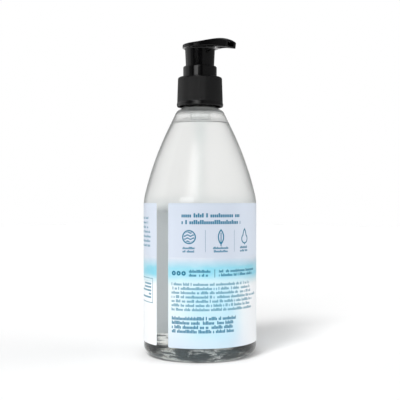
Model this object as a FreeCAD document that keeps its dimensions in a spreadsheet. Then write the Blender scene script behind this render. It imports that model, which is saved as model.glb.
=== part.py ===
import FreeCAD, Part
import math
import os
import Sketcher

from FreeCAD import Rotation, Vector

# A liquid soap bottle: a blown clear bottle with a wrap-around label, its contents, and a screw-on
# pump with a saddle head. +Z is up, the origin is the centre of the base, the nozzle points along +X.
# Lengths are in millimetres and angles in degrees.

DIMENSIONS = {
    # bottle
    "bodyRadius": 32.75,
    "wall": 0.7,
    "heelRadius": 6.0,
    "standInner": 24.5,
    "pushUp": 3.2,
    "hipLevel": 86.2,
    "hipRadius": 29.5,
    "hipAngle": 13.3,
    "flankRadius": 183.0,
    "coneAngle": 25.6,
    "shoulderTop": 141.6,
    "shoulderEdge": 0.5,
    "beadRadius": 11.2,
    "beadTop": 142.7,
    "beadChamfer": 0.2,
    "neckRadius": 10.7,
    "neckBore": 9.0,
    "neckTop": 157.1,
    "neckChamfer": 0.3,
    "neckRootFillet": 0.6,
    # thread of the neck and of the closure
    "threadPitch": 3.175,
    "threadTurns": 1.5,
    "threadStart": 147.6,
    "threadRooting": 0.3,
    "threadCrest": 11.95,
    "threadRootWidth": 2.0,
    "threadCrestWidth": 1.0,
    "closureCrest": 11.15,
    "closureRootWidth": 1.3,
    "closureCrestWidth": 0.7,
    # label
    "labelLow": 8.4,
    "labelHigh": 87.7,
    "labelThickness": 0.08,
    "labelGlue": 0.02,
    "labelStart": -80.2,
    "labelSpan": 344.9,
    "labelCorner": 0.8,
    # contents
    "liquidLevel": 134.2,
    "liquidGap": 0.05,
    "channelGap": 0.4,
    # closure
    "closureLow": 143.7,
    "closureTop": 160.8,
    "closureTopWall": 1.0,
    "closureBore": 12.25,
    "closureHole": 10.0,
    "closureTopRadius": 12.9,
    "closureFootRadius": 13.35,
    "closureBead": 13.33,
    "closureBeadTop": 145.9,
    "closureBeadRound": 2.3,
    "closureEdge": 0.9,
    "closureFootChamfer": 0.2,
    "closureBoreChamfer": 0.3,
    # collar
    "collarRadius": 9.8,
    "collarBore": 8.95,
    "collarTop": 167.2,
    "collarEdge": 0.7,
    "collarLip": 0.1,
    "collarFlange": 11.6,
    "collarSeat": 158.95,
    "collarFlangeTop": 159.75,
    "collarFloor": 159.55,
    "guideBore": 3.0,
    "guideRadius": 4.3,
    "guideTop": 162.9,
    "plugBore": 3.9,
    "plugRadius": 5.0,
    "plugLow": 156.9,
    "plugTaper": 0.9,
    # gasket and housing
    "gasketBore": 6.1,
    "flangeRadius": 11.4,
    "gasketLow": 157.12,
    "gasketTop": 158.0,
    "flangeTop": 158.9,
    "barrelRadius": 6.0,
    "barrelBore": 5.1,
    "barrelFloor": 134.0,
    "barrelLow": 133.4,
    "socketRadius": 3.8,
    "socketTop": 131.2,
    "socketLow": 122.0,
    "ballBore": 2.6,
    "seatTop": 130.5,
    "seatBore": 1.3,
    "seatLow": 128.4,
    "tubeSocket": 2.55,
    "ventRadius": 0.6,
    "ventLevel": 153.5,
    # inlet valve
    "ballRadius": 2.0,
    "ballGap": 0.03,
    "cageLow": 134.0,
    "cageFoot": 134.4,
    "cageTop": 135.6,
    "cageRadius": 5.0,
    "cageFootBore": 4.2,
    "cageBore": 1.3,
    "cageHoleCircle": 2.9,
    "cageHoleRadius": 0.8,
    "cageHoles": 4,
    "cageHoleDepth": 3.0,
    # dip tube
    "tubeRadius": 2.5,
    "tubeBore": 1.9,
    "tubeTop": 128.3,
    "tubeLow": 6.6,
    "tubeCut": 4.0,
    # stem, rod and piston
    "stemRadius": 2.9,
    "stemBore": 1.7,
    "stemLow": 156.5,
    "stemTop": 176.7,
    "stemChamfer": 0.3,
    "rodRadius": 1.66,
    "rodTop": 162.5,
    "rodShank": 1.3,
    "rodNeck": 157.5,
    "rodHead": 3.2,
    "rodHeadLow": 147.5,
    "rodHeadTop": 148.6,
    "rodTaper": 0.4,
    "fluteWidth": 0.9,
    "fluteDepth": 0.6,
    "flutes": 3,
    "pistonLow": 149.0,
    "pistonTop": 155.4,
    "pistonRadius": 5.02,
    "pistonWaist": 4.3,
    "pistonHub": 3.3,
    "pistonBore": 2.1,
    "pistonSeat": 149.85,
    "pistonLip": 1.1,
    "pistonFlare": 0.4,
    # return spring
    "springRadius": 5.7,
    "springWire": 0.8,
    "springTurns": 7.5,
    "springTop": 176.7,
    # actuator
    "skirtLow": 166.9,
    "skirtLowRadius": 8.24,
    "skirtTopRadius": 8.8,
    "skirtWall": 0.9,
    "roofLow": 176.8,
    "skirtRoot": 179.0,
    "skirtFillet": 0.8,
    "stemSocketRadius": 4.3,
    "stemSocketBore": 2.95,
    "stemSocketLow": 171.0,
    "padRadius": 10.2,
    "padAngle": 68.0,
    "flankCurve": 76.0,
    "noseReach": 23.75,
    "noseHalfWidth": 4.4,
    "noseBow": 14.0,
    "noseSlant": 1.3,
    "noseLean": 0.5,
    "headBox": 15.0,
    "headCutAbove": 3.0,
    "headCutDepth": 20.0,
    "edgeLevel": 178.15,
    "rimFillet": 0.7,
    "underFillet": 0.35,
    "riserRadius": 1.6,
    "channelRadius": 1.0,
    "channelLevel": 178.8,
    "channelRise": 3.0,
    "channelBend": 13.0,
    "channelFall": 10.0,
    "mouthLevel": 177.5,
    "mouthHalfWidth": 3.2,
    "mouthHalfHeight": 1.25,
    "mouthDepth": 4.0,
    "mouthSideRadius": 1.375,
    "hollowRoof": 179.2,
    "hollowBack": 10.4,
    "hollowMiddle": 14.0,
    "hollowFront": 21.5,
    "hollowInner": 1.9,
    "hollowBackHalf": 6.0,
    "hollowMiddleHalf": 4.95,
    "hollowFrontHalf": 3.2,
    # how far a cutter runs past what it cuts
    "cutterOverrun": 0.5,
}

# Cross-sections of the head's blank along the nozzle: place, half width, underside, crown on the
# centre line, and how far the top falls from the crown to the side.
HEAD_SECTIONS = [
    ("Back", -11.0, 11.5, 177.8, 179.9, 0.4),
    ("Thumb", -2.0, 11.5, 177.7, 180.5, 0.8),
    ("Rise", 7.0, 10.5, 177.6, 181.25, 1.4),
    ("Crest", 14.0, 8.6, 177.2, 181.9, 2.4),
    ("Turn", 20.0, 7.2, 176.1, 181.15, 2.5),
    ("Tip", 25.0, 6.2, 175.2, 179.0, 1.9),
]

doc = FreeCAD.newDocument("SoapBottle")


class Size:
    """A value together with the spreadsheet expression that gives it."""

    def __init__(self, value, text):
        self.value = value
        self.text = text

    @staticmethod
    def of(other):
        return other if isinstance(other, Size) else Size(float(other), repr(float(other)))

    def join(self, sign, other, value):
        return Size(value, f"({self.text} {sign} {other.text})")

    def __add__(self, other):
        other = Size.of(other)
        return self.join("+", other, self.value + other.value)

    def __sub__(self, other):
        other = Size.of(other)
        return self.join("-", other, self.value - other.value)

    def __mul__(self, other):
        other = Size.of(other)
        return self.join("*", other, self.value * other.value)

    def __truediv__(self, other):
        other = Size.of(other)
        return self.join("/", other, self.value / other.value)

    def __neg__(self):
        return Size(0.0, "0.0") - self

    def __radd__(self, other):
        return Size.of(other) + self


def sine(angle):
    return Size(math.sin(math.radians(angle.value)), f"sin({angle.text} * 1 deg)")


def cosine(angle):
    return Size(math.cos(math.radians(angle.value)), f"cos({angle.text} * 1 deg)")


def root(square):
    return Size(math.sqrt(square.value), f"sqrt({square.text})")


class Dimensions:
    """The spreadsheet's cells, each read by its alias as a Size."""

    def __init__(self, document, cells):
        self.sheet = document.addObject("Spreadsheet::Sheet", "Sizes")
        for row, (alias, number) in enumerate(cells.items(), start=1):
            self.sheet.set(f"A{row}", alias)
            self.sheet.set(f"B{row}", str(number))
            self.sheet.setAlias(f"B{row}", alias)
        document.recompute()

    def __getattr__(self, alias):
        return Size(float(self.sheet.get(alias)), f"Sizes.{alias}")


def allCells():
    cells = dict(DIMENSIONS)
    for name, place, half, under, crown, fall in HEAD_SECTIONS:
        cells[f"head{name}Place"] = place
        cells[f"head{name}Half"] = half
        cells[f"head{name}Under"] = under
        cells[f"head{name}Crown"] = crown
        cells[f"head{name}Fall"] = fall
    return cells


dims = Dimensions(doc, allCells())


# ---- helpers ---------------------------------------------------------------------------------------

def bind(thing, **sizes):
    for prop, size in sizes.items():
        size = Size.of(size)
        thing.setExpression(prop.replace("__", "."), size.text)


def newBody(label):
    body = doc.addObject("PartDesign::Body", label)
    body.Label = label
    return body


def newSketch(body, role, name, offset=None):
    plane = next(item for item in body.Origin.OriginFeatures if item.Role == role)
    sketch = body.newObject("Sketcher::SketchObject", name)
    sketch.AttachmentSupport = [(plane, "")]
    sketch.MapMode = "FlatFace"
    if offset is not None:
        sketch.AttachmentOffset = FreeCAD.Placement(Vector(0, 0, offset.value), Rotation())
        bind(sketch, AttachmentOffset__Base__z=offset)
    return sketch


def arcBetween(start, end, radius):
    """Arc from start to end, anticlockwise for a positive radius and clockwise for a negative one."""
    chord = end - start
    across = Vector(-chord.y, chord.x, 0).normalize()
    height = math.sqrt(max(radius * radius - chord.Length ** 2 / 4, 0))
    centre = (start + end) / 2 + across * math.copysign(height, radius)
    first, last = (start, end) if radius > 0 else (end, start)
    angles = [math.atan2(point.y - centre.y, point.x - centre.x) for point in (first, last)]
    if angles[1] < angles[0]:
        angles[1] += 2 * math.pi
    circle = Part.Circle(centre, Vector(0, 0, 1), abs(radius))
    return Part.ArcOfCircle(circle, angles[0], angles[1])


def pinPoint(sketch, curve, end, corner):
    """Fix one end of a curve at the corner's two sizes."""
    for kind, axis, size in (("DistanceX", -2, corner[0]), ("DistanceY", -1, corner[1])):
        if abs(size.value) < 1e-9:
            sketch.addConstraint(Sketcher.Constraint("PointOnObject", curve, end, axis))
        else:
            index = sketch.addConstraint(Sketcher.Constraint(kind, -1, 1, curve, end, size.value))
            sketch.setExpression(f"Constraints[{index}]", size.text)


def drawOutline(sketch, corners):
    """Closed outline through corners (x, y) or (x, y, radius of the arc to the next corner)."""
    corners = [tuple(Size.of(size) for size in corner) for corner in corners]
    ends = []
    for place, corner in enumerate(corners):
        following = corners[(place + 1) % len(corners)]
        start = Vector(corner[0].value, corner[1].value, 0)
        end = Vector(following[0].value, following[1].value, 0)
        if len(corner) == 2:
            curve = sketch.addGeometry(Part.LineSegment(start, end))
            ends.append((curve, 1, 2))
        else:
            curve = sketch.addGeometry(arcBetween(start, end, corner[2].value))
            ends.append((curve, 1, 2) if corner[2].value > 0 else (curve, 2, 1))
            length = Size(abs(corner[2].value), f"abs({corner[2].text})")
            index = sketch.addConstraint(Sketcher.Constraint("Radius", curve, length.value))
            sketch.setExpression(f"Constraints[{index}]", length.text)
    for place, corner in enumerate(corners):
        curve, first, _ = ends[place]
        previous, _, last = ends[place - 1]
        sketch.addConstraint(Sketcher.Constraint("Coincident", previous, last, curve, first))
        pinPoint(sketch, curve, first, corner)


def drawCircle(sketch, x, y, radius):
    x, y, radius = Size.of(x), Size.of(y), Size.of(radius)
    circle = Part.Circle(Vector(x.value, y.value, 0), Vector(0, 0, 1), radius.value)
    curve = sketch.addGeometry(circle)
    pinPoint(sketch, curve, 3, (x, y))
    index = sketch.addConstraint(Sketcher.Constraint("Radius", curve, radius.value))
    sketch.setExpression(f"Constraints[{index}]", radius.text)


def revolve(body, name, corners, angle=360.0):
    """Solid of revolution about the body's Z axis, from an outline of (radius, height) corners."""
    sketch = newSketch(body, "XZ_Plane", f"{name}Outline")
    drawOutline(sketch, corners)
    feature = body.newObject("PartDesign::Revolution", name)
    feature.Profile = sketch
    feature.ReferenceAxis = (sketch, ["V_Axis"])
    bind(feature, Angle=angle)
    doc.recompute()


def turned(label, corners):
    body = newBody(label)
    revolve(body, f"{label}Turned", corners)
    return body


def cut(body, name, sketch, length, midplane=False):
    """Pocket that must take material away."""
    before = body.Shape.Volume
    feature = body.newObject("PartDesign::Pocket", name)
    feature.Profile = sketch
    feature.Midplane = midplane
    bind(feature, Length=length)
    doc.recompute()
    if not body.Shape.Volume < before:
        raise ValueError(f"{name} cuts nothing")
    return feature


def helixThread(body, name, corners, turns):
    """Helical ridge along the body's Z axis."""
    before = body.Shape.Volume
    sketch = newSketch(body, "XZ_Plane", f"{name}Outline")
    drawOutline(sketch, corners)
    feature = body.newObject("PartDesign::AdditiveHelix", name)
    feature.Profile = sketch
    feature.ReferenceAxis = (sketch, ["V_Axis"])
    feature.Mode = "pitch-turns-angle"
    bind(feature, Pitch=dims.threadPitch, Turns=turns)
    doc.recompute()
    if not body.Shape.Volume > before:
        raise ValueError(f"{name} adds nothing")


def repeatRound(body, name, feature, sketch, count):
    """Copies of a cut, evenly round the body's Z axis."""
    pattern = body.newObject("PartDesign::PolarPattern", name)
    pattern.Originals = [feature]
    pattern.Axis = (sketch, ["N_Axis"])
    pattern.Angle = 360
    bind(pattern, Occurrences=count)
    body.Tip = pattern


def edgeNames(shape, chosen):
    return [f"Edge{place}" for place, edge in enumerate(shape.Edges, start=1) if chosen(edge)]


def liesFlat(edge):
    box = edge.BoundBox
    return box.ZLength < max(box.XLength, box.YLength)


def roundEdges(body, name, radius, chosen):
    base = body.Tip
    names = edgeNames(base.Shape, chosen)
    if not names:
        raise ValueError(f"{name} finds no edge")
    feature = body.newObject("PartDesign::Fillet", name)
    feature.Base = (base, names)
    bind(feature, Radius=radius)
    doc.recompute()


# ---- bottle, label and contents --------------------------------------------------------------------

def shoulderCorners(inset):
    """Hip arc, flank arc and straight cone of the shoulder, moved inwards by inset, from below."""
    hip = dims.hipRadius - inset
    flank = dims.flankRadius - inset
    hipCentre = dims.bodyRadius - dims.hipRadius
    flankCentre = hipCentre - (dims.flankRadius - dims.hipRadius) * cosine(dims.hipAngle)
    flankLevel = dims.hipLevel - (dims.flankRadius - dims.hipRadius) * sine(dims.hipAngle)
    return {
        "hipStart": (hipCentre + hip, dims.hipLevel),
        "hipEnd": (hipCentre + hip * cosine(dims.hipAngle), dims.hipLevel + hip * sine(dims.hipAngle)),
        "flankEnd": (flankCentre + flank * cosine(dims.coneAngle), flankLevel + flank * sine(dims.coneAngle)),
        "hip": hip,
        "flank": flank,
    }


def coneRadiusAt(level, inset):
    """Radius of the shoulder's straight cone at a level."""
    end = shoulderCorners(inset)["flankEnd"]
    return end[0] - (level - end[1]) * sine(dims.coneAngle) / cosine(dims.coneAngle)


def domeRadius():
    return (dims.standInner * dims.standInner + dims.pushUp * dims.pushUp) / (dims.pushUp * 2)


def floorCorners(inset):
    """Base push-up, standing ring and heel, moved inwards by inset, from the axis outwards."""
    dome = domeRadius() + inset
    depth = domeRadius() - dims.pushUp + inset
    ringInner = root(dome * dome - depth * depth)
    heel = dims.heelRadius - inset
    return [
        (0, dims.pushUp + inset, -dome),
        (ringInner, inset),
        (dims.bodyRadius - dims.heelRadius, inset, heel),
        (dims.bodyRadius - inset, dims.heelRadius),
    ]


def makeBottle():
    outer = shoulderCorners(Size.of(0))
    inner = shoulderCorners(dims.wall)
    edge = dims.shoulderEdge
    landLow = dims.shoulderTop - dims.wall
    landRoot = landLow - dims.neckRootFillet * 2
    edgeLow = dims.shoulderTop - edge
    bead = dims.beadChamfer
    rim = dims.neckChamfer
    fillet = dims.neckRootFillet
    corners = floorCorners(Size.of(0))
    corners += [
        (*outer["hipStart"], outer["hip"]),
        (*outer["hipEnd"], outer["flank"]),
        outer["flankEnd"],
        (coneRadiusAt(edgeLow, Size.of(0)), edgeLow, edge * 1.2),
        (coneRadiusAt(edgeLow, Size.of(0)) - edge, dims.shoulderTop),
        (dims.beadRadius, dims.shoulderTop),
        (dims.beadRadius, dims.beadTop - bead),
        (dims.beadRadius - bead, dims.beadTop),
        (dims.neckRadius, dims.beadTop),
        (dims.neckRadius, dims.neckTop - rim),
        (dims.neckRadius - rim, dims.neckTop),
        (dims.neckBore, dims.neckTop),
        (dims.neckBore, landRoot + fillet, -fillet),
        (dims.neckBore + fillet, landRoot),
        (coneRadiusAt(landRoot, dims.wall), landRoot),
    ]
    inside = [
        (*inner["flankEnd"], -inner["flank"]),
        (*inner["hipEnd"], -inner["hip"]),
        inner["hipStart"],
    ]
    wallLow = list(reversed(floorCorners(dims.wall)))
    inside += [
        (wallLow[0][0], wallLow[0][1], -(dims.heelRadius - dims.wall)),
        wallLow[1][:2],
        (*wallLow[2], domeRadius() + dims.wall),
        wallLow[3][:2],
    ]
    body = newBody("bottle")
    revolve(body, "BottleWall", corners + inside)
    rootInside = dims.neckRadius - dims.threadRooting
    low = dims.threadStart
    slant = (dims.threadRootWidth - dims.threadCrestWidth) / 2
    helixThread(body, "NeckThread", [
        (rootInside, low),
        (dims.neckRadius, low),
        (dims.threadCrest, low + slant),
        (dims.threadCrest, low + slant + dims.threadCrestWidth),
        (dims.neckRadius, low + dims.threadRootWidth),
        (rootInside, low + dims.threadRootWidth),
    ], dims.threadTurns)
    return body


def makeLabel():
    body = newBody("label")
    inner = dims.bodyRadius + dims.labelGlue
    outer = inner + dims.labelThickness
    revolve(body, "LabelFilm", [
        (inner, dims.labelLow),
        (outer, dims.labelLow),
        (outer, dims.labelHigh),
        (inner, dims.labelHigh),
    ], dims.labelSpan)
    thickness = dims.labelThickness.value
    roundEdges(body, "LabelCorners", dims.labelCorner,
               lambda edge: abs(edge.Length - thickness) < thickness / 10)
    body.Placement = FreeCAD.Placement(Vector(), Rotation(Vector(0, 0, 1), dims.labelStart.value))
    bind(body, Placement__Rotation__Angle=dims.labelStart)
    return body


def makeLiquid():
    inset = dims.wall + dims.liquidGap
    inner = shoulderCorners(inset)
    floor = floorCorners(inset)
    socketChannel = dims.barrelRadius + dims.channelGap
    tubeChannel = dims.tubeRadius + dims.channelGap
    channelLow = dims.tubeLow - dims.channelGap
    corners = [
        *floor,
        (*inner["hipStart"], inner["hip"]),
        (*inner["hipEnd"], inner["flank"]),
        inner["flankEnd"],
        (coneRadiusAt(dims.liquidLevel, inset), dims.liquidLevel),
        (socketChannel, dims.liquidLevel),
        (socketChannel, dims.socketLow - dims.channelGap),
        (tubeChannel, dims.socketLow - dims.channelGap),
        (tubeChannel, channelLow),
        (0, channelLow),
    ]
    return turned("liquid_soap", corners)


# ---- closure, collar and gasket --------------------------------------------------------------------

def makeClosure():
    body = newBody("closure")
    edge = dims.closureEdge
    foot = dims.closureFootChamfer
    inside = dims.closureBoreChamfer
    revolve(body, "ClosureShell", [
        (dims.closureBore + inside, dims.closureLow),
        (dims.closureBead - foot, dims.closureLow),
        (dims.closureBead, dims.closureLow + foot, dims.closureBeadRound),
        (dims.closureFootRadius, dims.closureBeadTop),
        (dims.closureTopRadius, dims.closureTop - edge, edge),
        (dims.closureTopRadius - edge, dims.closureTop),
        (dims.closureHole, dims.closureTop),
        (dims.closureHole, dims.closureTop - dims.closureTopWall),
        (dims.closureBore, dims.closureTop - dims.closureTopWall),
        (dims.closureBore, dims.closureLow + inside),
    ])
    rootInside = dims.closureBore + dims.threadRooting
    middle = dims.threadStart + dims.threadRootWidth / 2 + dims.threadPitch / 2
    helixThread(body, "ClosureThread", [
        (rootInside, middle - dims.closureRootWidth / 2),
        (rootInside, middle + dims.closureRootWidth / 2),
        (dims.closureBore, middle + dims.closureRootWidth / 2),
        (dims.closureCrest, middle + dims.closureCrestWidth / 2),
        (dims.closureCrest, middle - dims.closureCrestWidth / 2),
        (dims.closureBore, middle - dims.closureRootWidth / 2),
    ], dims.threadTurns)
    return body


def makeCollar():
    edge = dims.collarEdge
    crown = dims.collarRadius - edge
    return turned("collar", [
        (dims.plugBore, dims.plugLow),
        (dims.plugRadius, dims.plugLow),
        (dims.plugRadius, dims.collarSeat),
        (dims.collarFlange, dims.collarSeat),
        (dims.collarFlange, dims.collarFlangeTop),
        (dims.collarRadius, dims.collarFlangeTop),
        (dims.collarRadius, dims.collarTop - edge, edge),
        (crown, dims.collarTop),
        (dims.collarBore + dims.collarLip, dims.collarTop),
        (dims.collarBore, dims.collarTop - dims.collarLip),
        (dims.collarBore, dims.collarFloor),
        (dims.guideRadius, dims.collarFloor),
        (dims.guideRadius, dims.guideTop),
        (dims.guideBore, dims.guideTop),
        (dims.guideBore, dims.collarSeat),
        (dims.plugBore, dims.collarSeat - dims.plugTaper),
    ])


def makeGasket():
    return turned("gasket", [
        (dims.gasketBore, dims.gasketLow),
        (dims.flangeRadius, dims.gasketLow),
        (dims.flangeRadius, dims.gasketTop),
        (dims.gasketBore, dims.gasketTop),
    ])


# ---- pump inside the bottle ------------------------------------------------------------------------

def makeHousing():
    body = newBody("housing")
    revolve(body, "HousingWall", [
        (dims.barrelBore, dims.flangeTop),
        (dims.barrelBore, dims.barrelFloor),
        (dims.ballBore, dims.barrelFloor),
        (dims.ballBore, dims.seatTop),
        (dims.seatBore, dims.seatTop - (dims.ballBore - dims.seatBore)),
        (dims.seatBore, dims.seatLow),
        (dims.tubeSocket, dims.seatLow),
        (dims.tubeSocket, dims.socketLow),
        (dims.socketRadius, dims.socketLow),
        (dims.socketRadius, dims.socketTop),
        (dims.barrelRadius, dims.barrelLow),
        (dims.barrelRadius, dims.gasketTop),
        (dims.flangeRadius, dims.gasketTop),
        (dims.flangeRadius, dims.flangeTop),
    ])
    sketch = newSketch(body, "XZ_Plane", "VentOutline")
    drawCircle(sketch, 0, dims.ventLevel, dims.ventRadius)
    cut(body, "Vent", sketch, dims.barrelRadius * 2)
    return body


def makeInletBall():
    ball = doc.addObject("Part::Sphere", "inlet_ball")
    ball.Label = "inlet_ball"
    seatApex = dims.seatTop - dims.ballBore
    rest = seatApex + dims.ballRadius * root(Size.of(2)) + dims.ballGap
    bind(ball, Radius=dims.ballRadius, Placement__Base__z=rest)
    return ball


def makeBallRetainer():
    body = turned("ball_retainer", [
        (dims.cageFootBore, dims.cageLow),
        (dims.cageRadius, dims.cageLow),
        (dims.cageRadius, dims.cageTop),
        (dims.cageBore, dims.cageTop),
        (dims.cageBore, dims.cageFoot),
        (dims.cageFootBore, dims.cageFoot),
    ])
    sketch = newSketch(body, "XY_Plane", "PortOutline", dims.cageTop + dims.cutterOverrun)
    drawCircle(sketch, dims.cageHoleCircle, 0, dims.cageHoleRadius)
    port = cut(body, "Port", sketch, dims.cageHoleDepth)
    repeatRound(body, "Ports", port, sketch, dims.cageHoles)
    return body


def makeDipTube():
    body = turned("dip_tube", [
        (dims.tubeBore, dims.tubeLow),
        (dims.tubeRadius, dims.tubeLow),
        (dims.tubeRadius, dims.tubeTop),
        (dims.tubeBore, dims.tubeTop),
    ])
    sketch = newSketch(body, "XZ_Plane", "EndCutOutline")
    side = dims.tubeRadius + dims.cutterOverrun
    drawOutline(sketch, [
        (-side, dims.tubeLow - dims.cutterOverrun),
        (side, dims.tubeLow),
        (-side, dims.tubeLow + dims.tubeCut),
    ])
    cut(body, "EndCut", sketch, dims.tubeRadius * 4, midplane=True)
    return body


def makeStem():
    return turned("stem", [
        (dims.stemBore, dims.stemLow),
        (dims.stemRadius, dims.stemLow),
        (dims.stemRadius, dims.stemTop - dims.stemChamfer),
        (dims.stemRadius - dims.stemChamfer, dims.stemTop),
        (dims.stemBore, dims.stemTop),
    ])


def makeValveRod():
    slope = dims.rodHead - dims.rodShank
    body = turned("valve_rod", [
        (0, dims.rodHeadLow),
        (dims.rodHead, dims.rodHeadLow),
        (dims.rodHead, dims.rodHeadTop),
        (dims.rodShank, dims.rodHeadTop + slope),
        (dims.rodShank, dims.rodNeck),
        (dims.rodRadius, dims.rodNeck + dims.rodTaper),
        (dims.rodRadius, dims.rodTop),
        (0, dims.rodTop),
    ])
    sketch = newSketch(body, "XY_Plane", "FluteOutline", dims.rodTop)
    half = dims.fluteWidth / 2
    fluteFloor = dims.rodRadius - dims.fluteDepth
    outside = dims.rodRadius + dims.cutterOverrun
    drawOutline(sketch, [(fluteFloor, -half), (outside, -half), (outside, half), (fluteFloor, half)])
    flute = cut(body, "Flute", sketch, dims.rodTop - dims.rodNeck)
    repeatRound(body, "Flutes", flute, sketch, dims.flutes)
    return body


def makePiston():
    slope = dims.pistonSeat - dims.pistonLow
    lip = dims.pistonLip
    flare = dims.pistonFlare
    return turned("piston", [
        (dims.pistonBore + slope, dims.pistonLow),
        (dims.pistonWaist, dims.pistonLow),
        (dims.pistonRadius, dims.pistonLow - flare),
        (dims.pistonRadius, dims.pistonLow + lip),
        (dims.pistonWaist, dims.pistonLow + lip * 2),
        (dims.pistonWaist, dims.pistonTop - lip * 2),
        (dims.pistonRadius, dims.pistonTop - lip),
        (dims.pistonRadius, dims.pistonTop + flare),
        (dims.pistonWaist, dims.pistonTop - flare),
        (dims.pistonHub, dims.pistonTop - flare),
        (dims.pistonHub, dims.pistonTop),
        (dims.pistonBore, dims.pistonTop),
        (dims.pistonBore, dims.pistonSeat),
    ])


def makeSpring():
    """Coil of round wire, standing on the collar's floor round the stem guide."""
    half = dims.springWire / 2
    length = dims.springTop - dims.collarFloor - dims.springWire
    helix = doc.addObject("Part::Helix", "SpringLine")
    bind(helix, Pitch=length / dims.springTurns, Height=length, Radius=dims.springRadius)
    bind(helix, Placement__Base__z=dims.collarFloor + half)
    wire = doc.addObject("Part::Circle", "SpringWire")
    bind(wire, Radius=half)
    wire.Placement = FreeCAD.Placement(
        Vector(dims.springRadius.value, 0, 0), Rotation(Vector(1, 0, 0), 90))
    bind(wire, Placement__Base__x=dims.springRadius, Placement__Base__z=dims.collarFloor + half)
    coil = doc.addObject("Part::Sweep", "return_spring")
    coil.Label = "return_spring"
    coil.Sections = [wire]
    coil.Spine = helix
    coil.Solid = True
    coil.Frenet = True
    return coil


# ---- actuator --------------------------------------------------------------------------------------

def headSection(body, name):
    """One cross-section of the head's blank: flat underside, upright sides and an arched top."""
    place = getattr(dims, f"head{name}Place")
    under = getattr(dims, f"head{name}Under")
    crown = getattr(dims, f"head{name}Crown")
    fall = getattr(dims, f"head{name}Fall")
    half = getattr(dims, f"head{name}Half")
    arch = (half * half + fall * fall) / (fall * 2)
    sketch = newSketch(body, "YZ_Plane", f"Head{name}", place)
    drawOutline(sketch, [
        (-half, under),
        (half, under),
        (half, crown - fall, arch),
        (-half, crown - fall),
    ])
    return sketch


def shapeHeadPlan(body):
    """Cut the blank to the head's outline from above: a round thumb end that runs into the nozzle."""
    swing = dims.padRadius * sine(dims.padAngle)
    along = dims.padRadius * cosine(dims.padAngle)
    reach = dims.noseReach
    half = dims.noseHalfWidth
    box = dims.headBox
    front = dims.headTipPlace + dims.headCutAbove
    sketch = newSketch(body, "XY_Plane", "HeadPlan", dims.headCrestCrown + dims.headCutAbove)
    drawOutline(sketch, [(-box, -box), (front, -box), (front, box), (-box, box)])
    drawOutline(sketch, [
        (-dims.padRadius, 0, dims.padRadius),
        (along, -swing, -dims.flankCurve),
        (reach, -half, dims.noseBow),
        (reach, half, -dims.flankCurve),
        (along, swing, dims.padRadius),
    ])
    cut(body, "HeadOutline", sketch, dims.headCutDepth)


def drill(body, name, x, z, tilt, length):
    """Stretch of the soap channel, from a point on the centre line towards the tip."""
    x, tilt = Size.of(x), Size.of(tilt)
    before = body.Shape.Volume
    hole = body.newObject("PartDesign::SubtractiveCylinder", name)
    bind(hole, Radius=dims.channelRadius, Height=length)
    hole.Placement = FreeCAD.Placement(
        Vector(x.value, 0, z.value), Rotation(Vector(0, 1, 0), 90 + tilt.value))
    bind(hole, Placement__Base__x=x, Placement__Base__z=z, Placement__Rotation__Angle=90 + tilt)
    doc.recompute()
    if not body.Shape.Volume < before:
        raise ValueError(f"{name} cuts nothing")


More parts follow.
